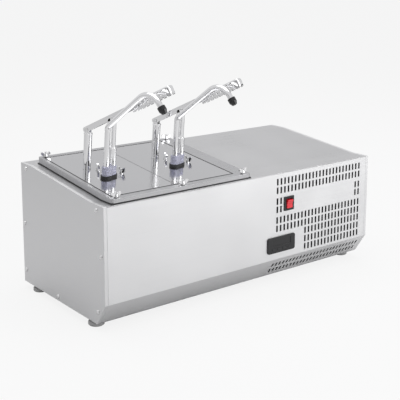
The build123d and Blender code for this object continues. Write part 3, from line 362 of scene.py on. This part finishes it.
def pin_head(side, sign):
    """Rounded head on one end of the rod's cross pin, outside the lever's wall."""
    axis = sign * Vector(joints[f"{side}_lever_press"]["axis"]).normalized()
    rod_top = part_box(f"{side}_piston_rod")[1].z
    points = [v.co for v in nodes[f"{side}_piston_rod"].data.vertices if v.co.z > rod_top - ROD_EYE]
    reach = max(p.dot(axis) for p in points)
    end_face = [p for p in points if p.dot(axis) > reach - END_FACE_DEPTH]
    centre = sum(end_face, Vector()) / len(end_face)
    across = axis.orthogonal().normalized()
    along = axis.cross(across)
    vertices = []
    for share, height in HEAD_OUTLINE:
        for i in range(HEAD_SIDES):
            angle = 2 * math.pi * i / HEAD_SIDES
            outward = math.cos(angle) * across + math.sin(angle) * along
            vertices.append(centre + share * HEAD_RADIUS * outward + height * axis)
    faces = [tuple(reversed(range(HEAD_SIDES)))]
    for ring in range(len(HEAD_OUTLINE) - 1):
        for i in range(HEAD_SIDES):
            j = (i + 1) % HEAD_SIDES
            a = ring * HEAD_SIDES
            faces.append((a + i, a + j, a + HEAD_SIDES + j, a + HEAD_SIDES + i))
    top = (len(HEAD_OUTLINE) - 1) * HEAD_SIDES
    faces.append(tuple(range(top, top + HEAD_SIDES)))
    tag = "a" if sign > 0 else "b"
    add_piece(f"{side}_pin_head_{tag}", vertices, faces, chrome, f"{side}_rod")


def spring_coil(side):
    """Stands for the return spring: a copy of its mesh that rides on the lid, in place of the hidden CAD
    spring.
    """
    mesh = nodes[f"{side}_return_spring"].data.copy()
    spring = bpy.data.objects.new(f"{side}_spring_coil", mesh)
    scene.collection.objects.link(spring)
    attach(spring, f"{side}_lid")
    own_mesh(spring)
    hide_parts(f"{side}_return_spring")


# Dark strip of painted shade under the lid frame's walls
frame_shade_strip()
# Dark lip of painted shade round the lids
lid_shade_lip()
for side in SIDES:
    spring_coil(side)
    for sign in (-1, 1):
        pin_head(side, sign)


# Floor, world and lights
BACKGROUND_SHADE = 0.913
WORLD_LIGHT = (0.72, 0.72, 0.73)
FLOOR_REACH = 30.0
FLOOR_PAPER = 0.6
FLOOR_ROUGHNESS = 0.9
FLOOR_GLOW = 0.98
FLOOR_GLOW_SHARE = 0.87
CARD_SHADE = 0.01
CARD_ROUGHNESS = 1.0


def grey(value):
    return value, value, value, 1


def flat_sheet(name, width, height, material_name, shade_value, rough):
    """A plain rectangle of one matt grey, and its material's node tree."""
    mesh = bpy.data.meshes.new(name)
    w, h = width / 2, height / 2
    mesh.from_pydata([(-w, -h, 0), (w, -h, 0), (w, h, 0), (-w, h, 0)], [], [(0, 1, 2, 3)])
    sheet = bpy.data.objects.new(name, mesh)
    scene.collection.objects.link(sheet)
    material = bpy.data.materials.new(material_name)
    material.use_nodes = True
    main = material.node_tree.nodes["Principled BSDF"]
    main.inputs["Base Color"].default_value = grey(shade_value)
    main.inputs["Roughness"].default_value = rough
    mesh.materials.append(material)
    return sheet, material.node_tree


def background_floor():
    """Pale floor that keeps the shadow. What the camera sees of it is mixed with a plain glow."""
    floor, tree = flat_sheet("floor", 2 * FLOOR_REACH, 2 * FLOOR_REACH, "floor_paper",
                             FLOOR_PAPER, FLOOR_ROUGHNESS)
    main = tree.nodes["Principled BSDF"]
    main.inputs["Specular IOR Level"].default_value = 0.0
    light_path = tree.nodes.new("ShaderNodeLightPath")
    plain = tree.nodes.new("ShaderNodeEmission")
    plain.inputs["Color"].default_value = grey(FLOOR_GLOW)
    keep = tree.nodes.new("ShaderNodeMath")
    keep.operation = "MULTIPLY"
    keep.inputs[1].default_value = FLOOR_GLOW_SHARE
    tree.links.new(light_path.outputs["Is Camera Ray"], keep.inputs[0])
    mix = tree.nodes.new("ShaderNodeMixShader")
    tree.links.new(keep.outputs[0], mix.inputs[0])
    tree.links.new(main.outputs[0], mix.inputs[1])
    tree.links.new(plain.outputs[0], mix.inputs[2])
    tree.links.new(mix.outputs[0], tree.nodes["Material Output"].inputs["Surface"])


def studio_world():
    """Even light from all round, and a plain grey where the camera sees past the floor."""
    world = bpy.data.worlds.new("studio")
    scene.world = world
    world.use_nodes = True
    tree = world.node_tree
    tree.nodes.clear()
    out = tree.nodes.new("ShaderNodeOutputWorld")
    seen = tree.nodes.new("ShaderNodeBackground")
    seen.inputs["Color"].default_value = grey(BACKGROUND_SHADE)
    light = tree.nodes.new("ShaderNodeBackground")
    light.inputs["Color"].default_value = (*WORLD_LIGHT, 1)
    light_path = tree.nodes.new("ShaderNodeLightPath")
    mix = tree.nodes.new("ShaderNodeMixShader")
    tree.links.new(light_path.outputs["Is Camera Ray"], mix.inputs[0])
    tree.links.new(light.outputs[0], mix.inputs[1])
    tree.links.new(seen.outputs[0], mix.inputs[2])
    tree.links.new(mix.outputs[0], out.inputs["Surface"])


def area_light(name, position, target, width, height, watts):
    data = bpy.data.lights.new(name, "AREA")
    data.shape = "RECTANGLE"
    data.size = width
    data.size_y = height
    data.energy = watts
    lamp = bpy.data.objects.new(name, data)
    scene.collection.objects.link(lamp)
    lamp.location = position
    lamp.rotation_mode = "QUATERNION"
    lamp.rotation_quaternion = (Vector(target) - Vector(position)).to_track_quat("-Z", "Y")


def dark_card(name, centre, normal, width, height):
    """A card off camera that polished metal mirrors as a dark streak."""
    card = flat_sheet(name, width, height, name, CARD_SHADE, CARD_ROUGHNESS)[0]
    card.location = centre
    card.rotation_mode = "QUATERNION"
    card.rotation_quaternion = Vector(normal).to_track_quat("Z", "Y")
    card.visible_camera = False
    card.visible_diffuse = False
    card.visible_shadow = False


background_floor()
studio_world()
area_light("key", position=(1.5, -2.4, 1.1), target=(0.1, 0.0, 0.1), width=2.6, height=1.8, watts=42)
area_light("top", position=(0.0, 0.2, 2.4), target=(0.0, 0.0, 0.2), width=2.6, height=2.2, watts=34)
dark_card("card_left", centre=(-1.7, -0.75, 0.5), normal=(1.0, 0.3, 0.0), width=0.7, height=1.0)
dark_card("card_right", centre=(1.8, -0.1, 0.45), normal=(-1.0, 0.05, 0.0), width=0.9, height=0.9)
dark_card("card_front", centre=(-0.1, -1.6, 0.6), normal=(0.05, 1.0, 0.0), width=0.6, height=1.2)


# Camera, at the photograph's angle
IMAGE_SIDE = 400.0
FOCAL_PIXELS = 870.71
SENSOR_WIDTH = 36.0
NEAR_CLIP = 0.05
FAR_CLIP = 100.0
AZIMUTH = math.radians(38.063)
DOWNWARD = math.radians(10.111)
ROLL = math.radians(0.096)
EYE_FROM_CORNER = Vector((-0.78554, -1.28073, 0.66761))
FRAME_SHIFT = -0.2


def make_camera():
    data = bpy.data.cameras.new("camera")
    camera = bpy.data.objects.new("camera", data)
    scene.collection.objects.link(camera)
    scene.camera = camera
    data.sensor_width = SENSOR_WIDTH
    data.lens = FOCAL_PIXELS / IMAGE_SIDE * SENSOR_WIDTH
    data.shift_y = FRAME_SHIFT
    data.clip_start = NEAR_CLIP
    data.clip_end = FAR_CLIP
    level = math.cos(DOWNWARD)
    forward = Vector((math.sin(AZIMUTH) * level, math.cos(AZIMUTH) * level, -math.sin(DOWNWARD)))
    right = Vector((math.cos(AZIMUTH), -math.sin(AZIMUTH), 0.0))
    up = right.cross(forward)
    tilted_right = math.cos(ROLL) * right + math.sin(ROLL) * up
    tilted_up = -math.sin(ROLL) * right + math.cos(ROLL) * up
    turn = Matrix((tilted_right, tilted_up, -forward)).transposed()
    place = Vector((LEFT_X, FRONT_Y, 0.0)) + EYE_FROM_CORNER
    camera.matrix_world = Matrix.Translation(place) @ turn.to_4x4()


make_camera()

scene.view_settings.view_transform = "Standard"
